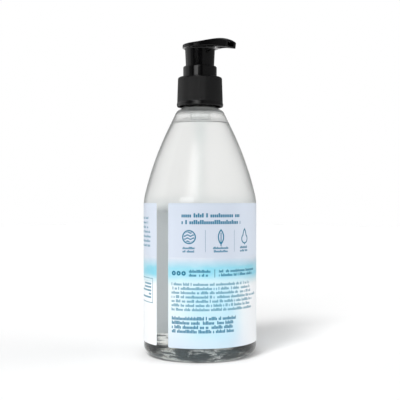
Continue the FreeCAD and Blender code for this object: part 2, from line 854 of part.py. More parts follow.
def makeActuator():
    body = newBody("actuator")
    sections = [headSection(body, section[0]) for section in HEAD_SECTIONS]
    blank = body.newObject("PartDesign::AdditiveLoft", "HeadBlank")
    blank.Profile = sections[0]
    blank.Sections = sections[1:]
    doc.recompute()
    shapeHeadPlan(body)

    # the end face leans back towards its lower edge
    face = newSketch(body, "XZ_Plane", "NoseFace")
    reach = dims.noseReach
    low = dims.headTipUnder - dims.headCutAbove
    high = dims.headTurnCrown + dims.cutterOverrun
    front = dims.headTipPlace + dims.headCutAbove
    drawOutline(face, [
        (reach - dims.noseSlant, low),
        (front, low),
        (front, high),
        (reach + dims.noseLean, high),
    ])
    cut(body, "NoseEnd", face, dims.headBox * 2, midplane=True)

    middle = dims.edgeLevel.value
    roundEdges(body, "HeadRim", dims.rimFillet,
               lambda edge: liesFlat(edge) and edge.BoundBox.ZMin > middle)
    roundEdges(body, "HeadUnderside", dims.underFillet,
               lambda edge: liesFlat(edge) and edge.BoundBox.ZMax < middle)

    wallLow = dims.skirtLowRadius - dims.skirtWall
    wallTop = dims.skirtTopRadius - dims.skirtWall
    revolve(body, "Skirt", [
        (wallLow, dims.skirtLow),
        (dims.skirtLowRadius, dims.skirtLow),
        (dims.skirtTopRadius, dims.skirtRoot),
        (dims.riserRadius, dims.skirtRoot),
        (dims.riserRadius, dims.roofLow),
        (dims.stemSocketBore, dims.roofLow),
        (dims.stemSocketBore, dims.stemSocketLow),
        (dims.stemSocketRadius, dims.stemSocketLow),
        (dims.stemSocketRadius, dims.roofLow),
        (wallTop, dims.roofLow),
    ])

    def meetsHead(edge):
        point = edge.valueAt((edge.FirstParameter + edge.LastParameter) / 2)
        outside = math.hypot(point.x, point.y) > dims.skirtLowRadius.value
        within = math.hypot(point.x, point.y) < dims.skirtTopRadius.value + dims.skirtWall.value / 2
        return outside and within and point.z > dims.roofLow.value

    roundEdges(body, "SkirtRoot", dims.skirtFillet, meetsHead)

    # hollows under the nozzle, one each side of the channel
    for name, side in (("HollowLeft", 1), ("HollowRight", -1)):
        hollow = newSketch(body, "XY_Plane", f"{name}Outline", dims.hollowRoof)
        corners = [
            (dims.hollowBack, dims.hollowInner * side),
            (dims.hollowFront, dims.hollowInner * side),
            (dims.hollowFront, dims.hollowFrontHalf * side),
            (dims.hollowMiddle, dims.hollowMiddleHalf * side),
            (dims.hollowBack, dims.hollowBackHalf * side),
        ]
        drawOutline(hollow, corners)
        cut(body, name, hollow, dims.hollowRoof - dims.headTipUnder)

    riser = newSketch(body, "XY_Plane", "RiserOutline", dims.channelLevel)
    drawCircle(riser, 0, 0, dims.riserRadius)
    cut(body, "Riser", riser, dims.channelLevel - dims.roofLow)

    bend = dims.channelBend
    drill(body, "ChannelRise", 0, dims.channelLevel, -dims.channelRise, bend + dims.cutterOverrun)
    bendLevel = dims.channelLevel + bend * sine(dims.channelRise)
    drill(body, "ChannelFall", bend, bendLevel, dims.channelFall, reach - bend)

    mouth = newSketch(body, "YZ_Plane", "MouthOutline", reach + dims.noseLean)
    side = dims.mouthHalfWidth - dims.mouthHalfHeight
    low = dims.mouthLevel - dims.mouthHalfHeight
    high = dims.mouthLevel + dims.mouthHalfHeight
    drawOutline(mouth, [
        (-side, low),
        (side, low, dims.mouthSideRadius),
        (side, high),
        (-side, high, dims.mouthSideRadius),
    ])
    cut(body, "Mouth", mouth, dims.mouthDepth + dims.noseLean)
    return body


# ---- build, check and write ------------------------------------------------------------------------

def main():
    parts = [
        makeBottle(),
        makeLabel(),
        makeLiquid(),
        makeClosure(),
        makeCollar(),
        makeGasket(),
        makeHousing(),
        makeInletBall(),
        makeBallRetainer(),
        makeDipTube(),
        makeStem(),
        makeValveRod(),
        makePiston(),
        makeSpring(),
        makeActuator(),
    ]
    doc.recompute()
    faults = [f"{item.Label} is {item.State}" for item in doc.Objects
              if "Invalid" in item.State or "Error" in item.State]
    for part in parts:
        if part.Shape.isNull() or not part.Shape.isValid():
            faults.append(f"{part.Label} has no valid shape")
        elif len(part.Shape.Solids) != 1:
            faults.append(f"{part.Label} has {len(part.Shape.Solids)} solids")
    if faults:
        raise ValueError("; ".join(faults))
    os.makedirs("parts", exist_ok=True)
    for part in parts:
        part.Shape.exportStep(f"parts/{part.Label}.step")
        box = part.Shape.BoundBox
        print(f"{part.Label:14} volume {part.Shape.Volume:9.1f}  z {box.ZMin:7.2f} to {box.ZMax:7.2f}")


main()
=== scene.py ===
import math

import bpy
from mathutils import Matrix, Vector


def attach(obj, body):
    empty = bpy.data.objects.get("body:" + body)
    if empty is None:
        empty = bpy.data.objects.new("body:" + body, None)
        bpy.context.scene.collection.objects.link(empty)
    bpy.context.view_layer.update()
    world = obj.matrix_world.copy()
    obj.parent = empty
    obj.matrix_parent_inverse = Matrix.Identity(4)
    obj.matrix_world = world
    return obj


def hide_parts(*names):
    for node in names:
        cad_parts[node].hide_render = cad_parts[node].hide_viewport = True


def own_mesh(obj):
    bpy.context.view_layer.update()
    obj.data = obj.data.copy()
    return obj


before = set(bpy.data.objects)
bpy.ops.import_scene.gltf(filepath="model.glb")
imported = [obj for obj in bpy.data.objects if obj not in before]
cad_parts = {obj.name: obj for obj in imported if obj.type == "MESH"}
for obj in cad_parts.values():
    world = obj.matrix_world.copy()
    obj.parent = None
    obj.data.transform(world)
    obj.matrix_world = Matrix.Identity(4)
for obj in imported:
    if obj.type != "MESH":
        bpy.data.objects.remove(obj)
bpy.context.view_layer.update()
print("frame loaded:", len(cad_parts), "nodes")

mm = 0.001  # lengths are in millimetres and angles in degrees, where no note says otherwise
sharpBend = 32  # gentler bends are shaded smooth


class Wire:
    # a node's output socket, or an expression made of several
    def __init__(self, finish, socket):
        self.finish = finish
        self.socket = socket

    def maths(self, operation, *values):
        return self.finish.node("Math", {"operation": operation}, dict(enumerate(values)))

    def __add__(self, other):
        return self.maths("ADD", self, other)

    def __sub__(self, other):
        return self.maths("SUBTRACT", self, other)

    def __rsub__(self, other):
        return self.maths("SUBTRACT", other, self)

    def __mul__(self, other):
        return self.maths("MULTIPLY", self, other)

    def __truediv__(self, other):
        return self.maths("DIVIDE", self, other)

    def __rtruediv__(self, other):
        return self.maths("DIVIDE", other, self)

    def __mod__(self, other):
        return self.maths("FLOORED_MODULO", self, other)

    def __rmod__(self, other):
        return self.maths("FLOORED_MODULO", other, self)

    def __gt__(self, other):
        return self.maths("GREATER_THAN", self, other)

    def __lt__(self, other):
        return self.maths("LESS_THAN", self, other)

    def __or__(self, other):
        return self.maths("MAXIMUM", self, other)

    def __and__(self, other):
        return self.maths("MINIMUM", self, other)

    def __abs__(self):
        return self.maths("ABSOLUTE", self)

    def floor(self):
        return self.maths("FLOOR", self)

    def sine(self):
        return self.maths("SINE", self)

    def root(self):
        return self.maths("SQRT", self)

    def fade(self, low, high):
        # 0 at low and 1 at high, with a soft start and end
        sockets = {"Value": self, "From Min": low, "From Max": high}
        return self.finish.node("MapRange", {"interpolation_type": "SMOOTHSTEP"}, sockets)

    __radd__ = __add__
    __rmul__ = __mul__
    __ror__ = __or__
    __rand__ = __and__


class Finish:
    # a material, or the world, and the nodes that make it
    def __init__(self, owner):
        owner.use_nodes = True
        self.owner = owner
        self.nodes = owner.node_tree.nodes
        self.links = owner.node_tree.links
        self.nodes.clear()

    def node(self, kind, settings=None, sockets=None, out=0):
        made = self.nodes.new("ShaderNode" + kind)
        for name, value in (settings or {}).items():
            if name == "stops":
                self.setRamp(made.color_ramp, value)
            else:
                setattr(made, name, value)
        for name, value in (sockets or {}).items():
            if isinstance(value, Wire):
                self.links.new(value.socket, made.inputs[name])
            else:
                made.inputs[name].default_value = value
        if made.outputs:
            return Wire(self, made.outputs[out])

    def setRamp(self, ramp, stops):
        while len(ramp.elements) < len(stops):
            ramp.elements.new(0.5)
        for element, (place, colour) in zip(ramp.elements, stops):
            element.position = place
            element.color = (*colour, 1)

    def mix(self, mask, first, second):
        sockets = {0: mask, 6: first, 7: second}
        return self.node("Mix", {"data_type": "RGBA"}, sockets, out=2)

    def dice(self, seed):
        # a random number from 0 to 1 for each whole number
        return self.node("TexWhiteNoise", {"noise_dimensions": "1D"}, {"W": seed})

    def place(self, kind="Object"):
        # x, y and z of a texture coordinate
        vector = self.node("TexCoord", out=kind)
        apart = self.node("SeparateXYZ", sockets={0: vector})
        return [Wire(self, apart.socket.node.outputs[axis]) for axis in range(3)]

    def level(self):
        # height above the rest plane, in millimetres
        return self.place()[2] * (1 / mm)

    def noise(self, size, detail=2.0, roughness=0.5, stretch=(1, 1, 1)):
        # size is the width of a blotch, in metres
        coordinates = self.node("TexCoord", out="Object")
        scaled = self.node("VectorMath", {"operation": "MULTIPLY"}, {0: coordinates, 1: stretch})
        sockets = {"Vector": scaled, "Scale": 1 / size, "Detail": detail, "Roughness": roughness}
        return self.node("TexNoise", sockets=sockets)

    def bump(self, height, depth):
        # depth in metres is what a height of 1 stands for
        return self.node("Bump", sockets={"Height": height, "Strength": 1.0, "Distance": depth})

    def principled(self, sockets):
        # sockets by name, with an underscore for each space
        named = {name.replace("_", " "): value for name, value in sockets.items()}
        return self.node("BsdfPrincipled", sockets=named)

    def surface(self, **sockets):
        self.output(self.principled(sockets))

    def film(self, share, glow, **sockets):
        # a sheet that lets a share of the light through
        face = self.principled(sockets)
        through = self.node("BsdfTranslucent", sockets={"Color": glow})
        self.output(self.node("MixShader", sockets={0: share, 1: face, 2: through}))

    def output(self, shader):
        kind = "OutputWorld" if isinstance(self.owner, bpy.types.World) else "OutputMaterial"
        self.node(kind, sockets={"Surface": shader})


def newFinish(name):
    return Finish(bpy.data.materials.new(name))


def rgb(red, green, blue):
    return (red, green, blue, 1)


def between(value, low, high):
    return (value > low) & (value < high)


def plateau(value, start, full, last, end):
    # rises softly from start to full, and falls from last to end
    return value.fade(start, full) * value.fade(end, last)


def spread(across, up):
    # distance from where both are 0
    return (across * across + up * up).root()


def bearing(x, y):
    # angle round the z axis, in radians
    return x.maths("ARCTAN2", y, x)


def sweepArc(centre, radius, first, last, steps):
    # points (radius, height) on an arc, angles in degrees from the horizontal
    points = []
    for step in range(steps + 1):
        angle = math.radians(first + (last - first) * step / steps)
        points.append((centre[0] + radius * math.cos(angle), centre[1] + radius * math.sin(angle)))
    return points


def newPiece(name, vertices, faces, body, nodes, finishes, pick=None):
    mesh = bpy.data.meshes.new(name)
    mesh.from_pydata([(x * mm, y * mm, z * mm) for x, y, z in vertices], [], faces)
    mesh.validate()
    for finish in finishes:
        mesh.materials.append(finish)
    if pick:
        for polygon in mesh.polygons:
            polygon.material_index = pick(polygon.center / mm, polygon.normal)
    mesh.shade_smooth()
    mesh.set_sharp_from_angle(angle=math.radians(sharpBend))
    piece = bpy.data.objects.new(name, mesh)
    bpy.context.scene.collection.objects.link(piece)
    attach(piece, body)
    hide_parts(*nodes)
    return piece


def lathe(outline, around):
    # closed solid of revolution, from its outline in millimetres, which runs with the solid on its left
    vertices, faces, rings = [], [], []
    for radius, height in outline:
        if radius < 1e-6:
            rings.append([len(vertices)])
            vertices.append((0, 0, height))
            continue
        rings.append(list(range(len(vertices), len(vertices) + around)))
        for step in range(around):
            turn = 2 * math.pi * step / around
            vertices.append((radius * math.cos(turn), radius * math.sin(turn), height))
    for place, ring in enumerate(rings):
        after = rings[(place + 1) % len(rings)]
        if len(ring) == 1 and len(after) == 1:
            continue
        for step in range(around):
            turn = (step + 1) % around
            if len(ring) == 1:
                faces.append((ring[0], after[turn], after[step]))
            elif len(after) == 1:
                faces.append((ring[step], ring[turn], after[0]))
            else:
                faces.append((ring[step], ring[turn], after[turn], after[step]))
    return vertices, faces


bottle = {
    "radius": 32.75,
    "wall": 0.7,
    "heel": 6.0,  # radius of the round from the base to the wall
    "standInner": 24.5,  # radius at which the push-up starts
    "pushUp": 3.2,
    "thickTop": 8.6,
    "plainBase": 22.0,  # radius up to which the underside is even
    "streakedHeel": 26.0,  # radius from which the heel is painted with streaks of shade and light
    "hipLevel": 86.2,
    "hipRadius": 29.5,
    "hipAngle": 13.3,
    "flankRadius": 183.0,
    "coneAngle": 25.6,
    "roundLow": 140.5,
    # radius and height of points on the bend from shoulder to neck
    "roundOutside": [(13.38, 140.95), (13.0, 141.4), (12.4, 141.75), (11.7, 142.05),
                     (11.15, 142.35), (10.7, 142.7)],
    "roundInside": [(12.45, 140.2), (11.95, 140.8), (11.25, 141.35), (10.4, 141.75),
                    (9.6, 142.1), (9.15, 142.6), (9.0, 143.2)],
    "neckRadius": 10.7,
    "neckBore": 9.0,
    "neckTop": 157.1,
    "neckEdge": 0.3,
    "around": 192,
    "threadPitch": 3.175,
    "threadTurns": 1.5,
    "threadStart": 147.6,
    "threadRoot": 10.6,
    "threadCrest": 11.95,
    "threadRootWidth": 2.0,
    "threadCrestWidth": 1.0,
    "threadSteps": 144,
    "gateRadius": 1.6,
    "gateDrop": 0.45,
    "clear": rgb(0.93, 0.93, 0.92),
    # painted shade and painted light: colours of the heel's dark and bright streaks
    "paintedShadeStreak": rgb(0.02, 0.029, 0.032),
    "paintedLightStreak": rgb(0.85, 0.87, 0.82),
    "underside": rgb(0.8, 0.82, 0.8),
    "hazeLow": 72.0,  # the inside is smooth up to here, and as hazy as it gets from hazeHigh
    "hazeHigh": 91.0,
    "hazeMost": 0.4,
    "foamBand": (137.6, 139.6, 142.2, 143.4),
}


def shoulder(inset):
    # hip arc and flank arc, moved inwards by inset, from below
    slope = math.radians(bottle["hipAngle"])
    hipCentre = (bottle["radius"] - bottle["hipRadius"], bottle["hipLevel"])
    apart = bottle["flankRadius"] - bottle["hipRadius"]
    flankCentre = (hipCentre[0] - apart * math.cos(slope), hipCentre[1] - apart * math.sin(slope))
    hip = sweepArc(hipCentre, bottle["hipRadius"] - inset, 0, bottle["hipAngle"], 10)
    flank = sweepArc(flankCentre, bottle["flankRadius"] - inset, bottle["hipAngle"], bottle["coneAngle"], 24)
    return hip + flank[1:]


def coneRadius(level, inset):
    # radius of the straight cone above the flank
    start = shoulder(inset)[-1]
    return start[0] - (level - start[1]) * math.tan(math.radians(bottle["coneAngle"]))


def base(inset):
    # push-up, standing ring and heel, moved inwards by inset, from the axis outwards
    dome = (bottle["standInner"] ** 2 + bottle["pushUp"] ** 2) / (2 * bottle["pushUp"])
    centre = (0, bottle["pushUp"] - dome)
    dome += inset
    rim = math.degrees(math.asin((inset - centre[1]) / dome))
    points = sweepArc(centre, dome, 90, rim, 16)
    points[0] = (0, centre[1] + dome)
    heelCentre = (bottle["radius"] - bottle["heel"], bottle["heel"])
    return points + sweepArc(heelCentre, bottle["heel"] - inset, -90, 0, 14)


def wallLevels(low, high, count):
    # evenly spaced heights, without the two ends
    return [low + (high - low) * step / count for step in range(1, count)]


liquid = {
    "level": 133.1,
    "meniscus": 1.1,
    "meniscusStep": 0.35,  # between the rings that make it
    "meniscusFade": 2.2,  # steps in which it falls to about a third
    "meniscusWidth": 4.0,
    "gap": 0.03,
    "index": 1.25,
    "channel": 6.4,  # radius of the room for the pump's barrel
    "channelLow": 121.4,  # and where it ends, below
}


def threadRidge(first):
    # vertices and faces of the neck's thread, numbered from first
    vertices, faces = [], []
    middle = bottle["threadStart"] + bottle["threadRootWidth"] / 2
    for step in range(bottle["threadSteps"] + 1):
        share = step / bottle["threadSteps"]
        ease = min(1, share * 12, (1 - share) * 12)  # the thread runs out at both ends
        turn = 2 * math.pi * bottle["threadTurns"] * share
        level = middle + bottle["threadPitch"] * bottle["threadTurns"] * share
        crest = bottle["threadRoot"] + (bottle["threadCrest"] - bottle["threadRoot"]) * ease
        rootRise, crestRise = bottle["threadRootWidth"] / 2, bottle["threadCrestWidth"] / 2
        section = [(bottle["threadRoot"], -rootRise), (crest, -crestRise),
                   (crest, crestRise), (bottle["threadRoot"], rootRise)]
        for radius, rise in section:
            vertices.append((radius * math.cos(turn), radius * math.sin(turn), level + rise))
    for step in range(bottle["threadSteps"]):
        for side in range(3):
            here = first + step * 4 + side
            faces.append((here, here + 4, here + 5, here + 1))
    return vertices, faces


def bottleOutline():
    # from the middle of the underside, up the outside and down the inside
    outside = base(0)
    crown = outside[0][1]
    reach, stub = bottle["gateRadius"], bottle["gateDrop"]  # the stub left where the plastic went in
    outside[0:1] = [(0, crown - stub), (reach * 0.6, crown - stub),
                    (reach * 0.8, crown - stub * 0.6), (reach, crown - 0.02)]
    outside += [(bottle["radius"], bottle["thickTop"])]
    outside += [(bottle["radius"], level) for level in wallLevels(bottle["thickTop"], bottle["hipLevel"], 8)]
    outside += shoulder(0)
    outside += [(coneRadius(bottle["roundLow"], 0), bottle["roundLow"])] + bottle["roundOutside"]
    outside += [(bottle["neckRadius"], bottle["neckTop"] - bottle["neckEdge"])]
    outside += [(bottle["neckRadius"] - bottle["neckEdge"], bottle["neckTop"])]
    outside += [(bottle["neckBore"], bottle["neckTop"])]
    inside = base(bottle["wall"])
    inside += [(bottle["radius"] - bottle["wall"], level)
               for level in wallLevels(bottle["heel"], bottle["hipLevel"], 8)]
    inside += shoulder(bottle["wall"])
    for level in (liquid["level"] + liquid["meniscus"], bottle["roundLow"] - 0.5):
        inside += [(coneRadius(level, bottle["wall"]), level)]
    inside += bottle["roundInside"]
    return outside + inside[::-1]


def clearWall():
    clear = newFinish("clearBottle")
    ripple = clear.noise(0.011, 2.0, 0.5, (1, 1, 0.5))
    clear.surface(Base_Color=bottle["clear"], Roughness=clear.noise(0.004) * 0.03 + 0.045, IOR=1.5,
                  Transmission_Weight=1.0, Normal=clear.bump(ripple, 0.00003))
    return clear.owner


def wettedWall():
    # plastic against liquid bends light less than plastic against air
    wetted = newFinish("wettedWall")
    haze = wetted.level().fade(bottle["hazeLow"], bottle["hazeHigh"]) * bottle["hazeMost"] + 0.02
    wetted.surface(Base_Color=rgb(0.985, 0.99, 0.985), Roughness=haze, IOR=1.5 / liquid["index"],
                   Transmission_Weight=1.0, Normal=wetted.bump(wetted.noise(0.009), 0.00003))
    return wetted.owner


def dryWall():
    # the inside above the soap, with a film of foam round the top
    dry = newFinish("dryWall")
    foam = plateau(dry.level(), *bottle["foamBand"]) * (dry.noise(0.004) * 0.4 + 0.3)
    dry.film(foam, rgb(0.96, 0.97, 0.97), Base_Color=rgb(0.97, 0.975, 0.97),
             Roughness=dry.noise(0.003) * 0.04 + 0.1, IOR=1.5, Transmission_Weight=1.0,
             Normal=dry.bump(dry.noise(0.009), 0.00003))
    return dry.owner


def baseWithPaintedStreaks():
    # more plastic here, so more of its colour; the heel's nearly black and near white streaks are painted
    # shade and painted light, for what it would show by refraction
    thick = newFinish("baseWithPaintedStreaks")
    flowAndPaintedStreaks = thick.noise(0.0105, 3.0, 0.6, (1, 1, 4.5))
    x, y = thick.place()[:2]
    heel = (spread(x, y) * (1 / mm)).fade(bottle["plainBase"], bottle["streakedHeel"])
    # painted shade and painted light: dark and bright streaks over the heel
    streaks = thick.mix(flowAndPaintedStreaks.fade(0.49, 0.6), bottle["paintedShadeStreak"], bottle["paintedLightStreak"])
    thick.surface(Base_Color=thick.mix(heel, bottle["underside"], streaks), Roughness=flowAndPaintedStreaks * 0.05 + 0.03,
                  IOR=1.5, Transmission_Weight=1.0, Normal=thick.bump(flowAndPaintedStreaks, 0.0002))
    return thick.owner


def makeBottle():
    vertices, faces = lathe(bottleOutline(), bottle["around"])
    ridge = threadRidge(len(vertices))
    vertices, faces = vertices + ridge[0], faces + ridge[1]
    wetTop = liquid["level"] + liquid["meniscus"]

    def pick(centre, normal):
        radial = math.hypot(centre.x, centre.y)
        if radial < bottle["standInner"] and centre.z < bottle["heel"]:
            inward = normal.z > 0
        else:
            inward = normal.x * centre.x + normal.y * centre.y < 0
        if not inward or radial > bottle["radius"] - bottle["wall"] / 2:
            return 3 if centre.z < bottle["thickTop"] else 0
        return 1 if centre.z < wetTop else 2

    finishes = [clearWall(), wettedWall(), dryWall(), baseWithPaintedStreaks()]
    newPiece("bottle_shell", vertices, faces, "bottle", ["bottle"], finishes, pick)


makeBottle()
print("bottle made")


def makeLiquid():
    surface = newFinish("soapSurface")
    surface.surface(Base_Color=rgb(0.98, 0.99, 0.99), Roughness=0.05, IOR=liquid["index"],
                    Transmission_Weight=1.0)
    side = newFinish("soapSide")  # lies against the wetted wall, which does the bending
    side.surface(Base_Color=rgb(1, 1, 1), Roughness=0.0, IOR=1.0, Transmission_Weight=1.0)
    inset = bottle["wall"] + liquid["gap"]
    outline = base(inset)
    outline += [(bottle["radius"] - inset, level)
                for level in wallLevels(bottle["heel"], bottle["hipLevel"], 4)]
    outline += shoulder(inset)
    wetTop = liquid["level"] + liquid["meniscus"]
    edge = coneRadius(wetTop, bottle["wall"] + 0.005)
    outline += [(edge, wetTop)]
    for step in range(1, 9):  # the meniscus falls away from the wall
        rise = liquid["meniscus"] * math.exp(-step / liquid["meniscusFade"])
        outline.append((edge - step * liquid["meniscusStep"], liquid["level"] + rise * 0.8))
    outline += [(edge - liquid["meniscusWidth"], liquid["level"]), (liquid["channel"], liquid["level"])]
    outline += [(liquid["channel"], liquid["channelLow"]), (0, liquid["channelLow"])]
    vertices, faces = lathe(outline, bottle["around"])

    def pick(centre, normal):
        return 0 if centre.z > liquid["level"] - 0.5 and normal.z > 0.7 else 1

    finishes = [surface.owner, side.owner]
    newPiece("soap", vertices, faces, "bottle", ["liquid_soap"], finishes, pick)


makeLiquid()
print("liquid made")


label = {
    "low": 8.4,
    "high": 87.7,
    "inner": 32.77,
    "outer": 32.85,
    "start": -80.2,
    "span": 344.9,
    "corner": 0.8,
    "columns": 220,
    "backThrough": 0.78,  # share of the light that comes through the film
    # painted glow near the top of the film's back: heights where it starts, and its strength
    "paintedGlowEdge": (84.2, 86.4),
    "paintedGlowStrength": 2.0,
    # height and colour of the printed ground; the darker last stop at the top edge is painted shade
    "ground": [(8.4, (0.60, 0.68, 0.77)), (22, (0.70, 0.79, 0.83)), (42, (0.72, 0.80, 0.83)),
               (45, (0.56, 0.75, 0.81)), (48, (0.21, 0.60, 0.745)), (52, (0.23, 0.60, 0.73)),
               (57.5, (0.55, 0.60, 0.69)), (86.4, (0.54, 0.593, 0.68)), (87.7, (0.51, 0.56, 0.65))],
    # painted light: the colour the upper ground turns towards on its sides
    "paintedLightTone": rgb(0.69, 0.755, 0.855),
    "wash": rgb(0.46, 0.71, 0.83),
    "streak": rgb(0.88, 0.90, 0.92),
    "blueInk": rgb(0.0, 0.15, 0.265),
    "greyInk": rgb(0.02, 0.21, 0.32),
    "band": (45, 58),
    "upperField": (52, 60),
    "lowerField": (46, 40),
    # along the film, in millimetres from its start
    # painted light: where the upper ground turns lighter on the right, less so further on, and a little on
    # the left
    "paintedLightRight": (32, 58),
    "paintedLightEnd": (100, 150),
    "paintedLightLeft": (20, -6),
    "whiteFrom": (36, 56),
    "washSides": (0, 20, 120, 170),
    "washGap": (33, 47, 80, 100),
    "bowCentre": (84, 54),
    "bowRadius": 38,
    "bowEdge": (2.6, 0.6),
    # heights over which the wash starts, and shares of the cloud and the inks
    "washLow": (9, 19),
    "cloudShare": 0.22,
    "blueShare": 0.97,
    "greyShare": 0.85,
    # line drawings, rules, rings, the medallion and the box: places along the film, and heights.
    # A line's width is given as half of it
    "line": 0.36,
    "marksLevel": 69.2,
    "marksAcross": (12.4, 30.2, 46.6),
    "rulesAcross": (21.4, 38.6),
    "rules": (61, 73),
    "rulesLine": 0.09,
    "shortRuleAcross": 26.6,
    "shortRule": (47.2, 51.6),
    "shortRuleLine": 0.18,
    "ringsAcross": (3.6, 6.5, 9.4),
    "ringsLevel": 49.4,
    "ringRadius": 0.8,
    "ringLine": 0.45,
    "medallionAcross": 111.0,
    "medallionLevel": 63,
    "medallionRadius": 14.5,
    "medallionLine": 0.4,
    "medallionLeaf": 2.6,  # how many times as big as the small leaf
    "boxCentre": (185, 38.6),
    "boxHalf": (9, 6.8),
    "boxLine": 0.22,
    "boxMargin": 1.6,
    "barPitch": 1.9,
    "barTall": 1.0,
    "barsFrom": 178,
    "barsVary": 14,
    # top of the first row, rows, distance between rows, letter height and width, left and right end
    "blueRows": [
        (82.2, 2, 3.7, 2.3, 1.15, 8.2, 49.0),
        (63.9, 2, 1.8, 1.3, 0.62, 8.8, 16.4),
        (63.9, 2, 1.8, 1.3, 0.62, 25.6, 35.0),
        (63.9, 2, 1.8, 1.3, 0.62, 42.8, 50.6),
        (51.4, 2, 2.1, 1.6, 0.72, 12.4, 24.4),
        (51.4, 2, 2.1, 1.6, 0.72, 29.0, 57.0),
        (25.8, 4, 2.35, 1.9, 0.8, 2.2, 44.0),
        (41.0, 2, 3.6, 2.1, 1.1, 96.0, 126.0),
    ],
    "greyRows": [
        (44.3, 7, 2.3, 1.6, 0.7, 2.2, 60.0),
        (80.0, 7, 2.6, 1.4, 0.75, 166.0, 192.5),
        (30.0, 3, 2.6, 1.4, 0.75, 99.0, 123.0),
    ],
}


def writeRows(paint, across, up, rows):
    # rows of blocks that stand for words; 61, 977 and 31 keep their random draws apart
    mask = 0.0
    for seed, (top, count, pitch, tall, wide, left, right) in enumerate(rows):
        row = ((top - up) / pitch).floor()
        down = (top - up) % pitch
        letter = paint.dice((across / wide).floor() + row * 61 + seed * 977)
        low = (1 - (letter > 0.7)) * (tall * 0.3)  # some letters are taller
        ink = between(down, low, tall) & (letter > 0.14) & ((across % wide) < wide * 0.8)  # and some missing
        end = right - paint.dice(row + seed * 31 + 0.5) * ((right - left) * 0.16)  # a ragged end
        mask = ink & between(across, left, end) & between(up, top - count * pitch, top) | mask
    return mask


def waves(across, up):
    # a ring round wavy lines
    out = spread(across, up)
    crest = ((up + (across * 1.9).sine() * 0.35) % 1.7 - 0.85)
    return (abs(out - 3.5) < label["line"]) | ((abs(crest) < label["line"]) & (out < 2.9))


def leaf(across, up):
    # two arcs that meet at both ends, and a rib
    edge = (spread(across + 4.2, up) | spread(across - 4.2, up)) - 5.7
    rib = (abs(across) < label["line"] * 0.8) & between(up, -5.0, 2.4)
    return (abs(edge) < label["line"]) | rib


def drop(across, up):
    # two arcs that meet in a point, on a round bottom
    point = (spread(across + 5.4, up) | spread(across - 5.4, up)) - 6.8
    edge = point & (spread(across, up + 1.3) - 2.4)
    return abs(edge) < label["line"]


def paintField(paint, across, up):
    # the printed ground: pastel blue, a turquoise band, and white with a wash towards one side, with painted
    # light on the sides of the upper ground
    low, high = label["low"], label["high"]
    stops = [((level - low) / (high - low), colour) for level, colour in label["ground"]]
    field = paint.node("ValToRGB", {"stops": stops}, {0: (up - low) / (high - low)})
    cloud = paint.noise(0.016, 3.0, 0.55, (1, 1, 2.2)).fade(0.3, 0.72)
    # painted light: the upper ground is lighter to the right of its middle stretch and a little to its left
    right = across.fade(*label["paintedLightRight"]) * (1 - across.fade(*label["paintedLightEnd"]) * 0.5)
    paintedLightSides = right | across.fade(*label["paintedLightLeft"]) * 0.4
    field = paint.mix(paintedLightSides * up.fade(*label["upperField"]), field, label["paintedLightTone"])
    lower = up.fade(*label["lowerField"])
    field = paint.mix(lower * across.fade(*label["whiteFrom"]), field, label["streak"])
    side = plateau(across, *label["washSides"]) * (1 - plateau(across, *label["washGap"]))
    wash = lower * side * (cloud * 0.3 + 0.7) * (up.fade(*label["washLow"]) * 0.6 + 0.4)
    field = paint.mix(wash, field, label["wash"])
    bowAcross, bowLevel = label["bowCentre"]
    away = abs(spread(across - bowAcross, up - bowLevel) - label["bowRadius"])
    field = paint.mix(away.fade(*label["bowEdge"]) * lower * (cloud * 0.4 + 0.6), field, label["streak"])
    return paint.mix(between(up, *label["band"]) * cloud * label["cloudShare"], field, label["streak"])


def paintMarks(across, up):
    # line drawings, rules, rings and the medallion on the far side
    marks = 0.0
    for mark, place in zip((waves, leaf, drop), label["marksAcross"]):
        marks = mark(across - place, up - label["marksLevel"]) | marks
    for place in label["rulesAcross"]:
        marks = marks | (abs(across - place) < label["rulesLine"]) & between(up, *label["rules"])
    short = abs(across - label["shortRuleAcross"]) < label["shortRuleLine"]
    marks = marks | short & between(up, *label["shortRule"])
    for place in label["ringsAcross"]:
        out = spread(across - place, up - label["ringsLevel"])
        marks = marks | (abs(out - label["ringRadius"]) < label["ringLine"])
    centre, middle, size = label["medallionAcross"], label["medallionLevel"], label["medallionLeaf"]
    marks = marks | leaf((across - centre) / size, (up - middle - 1) / size)
    out = spread(across - centre, up - middle)
    return marks | (abs(out - label["medallionRadius"]) < label["medallionLine"])


def paintBox(paint, across, up):
    # an outlined box with bars of different lengths
    boxAcross, boxLevel = label["boxCentre"]
    halfWidth, halfHeight = label["boxHalf"]
    out = (abs(across - boxAcross) - halfWidth) | (abs(up - boxLevel) - halfHeight)
    pitch = label["barPitch"]
    starts = paint.dice((up / pitch).floor()) * label["barsVary"] + label["barsFrom"]
    bars = (out < -label["boxMargin"]) & ((up % pitch) < label["barTall"]) & (starts < across)
    return (abs(out) < label["boxLine"]) | bars


def paintLabel(paint):
    x, y, z = paint.place()
    up = z * (1 / mm)
    polar = bearing(x, y) * (180 / math.pi)
    across = (polar - label["start"]) % 360 * (label["outer"] * math.pi / 180)
    field = paintField(paint, across, up)
    blue = writeRows(paint, across, up, label["blueRows"]) | paintMarks(across, up)
    grey = writeRows(paint, across, up, label["greyRows"]) | paintBox(paint, across, up)
    printed = paint.mix(blue * label["blueShare"], field, label["blueInk"])
    return paint.mix(grey * label["greyShare"], printed, label["greyInk"])


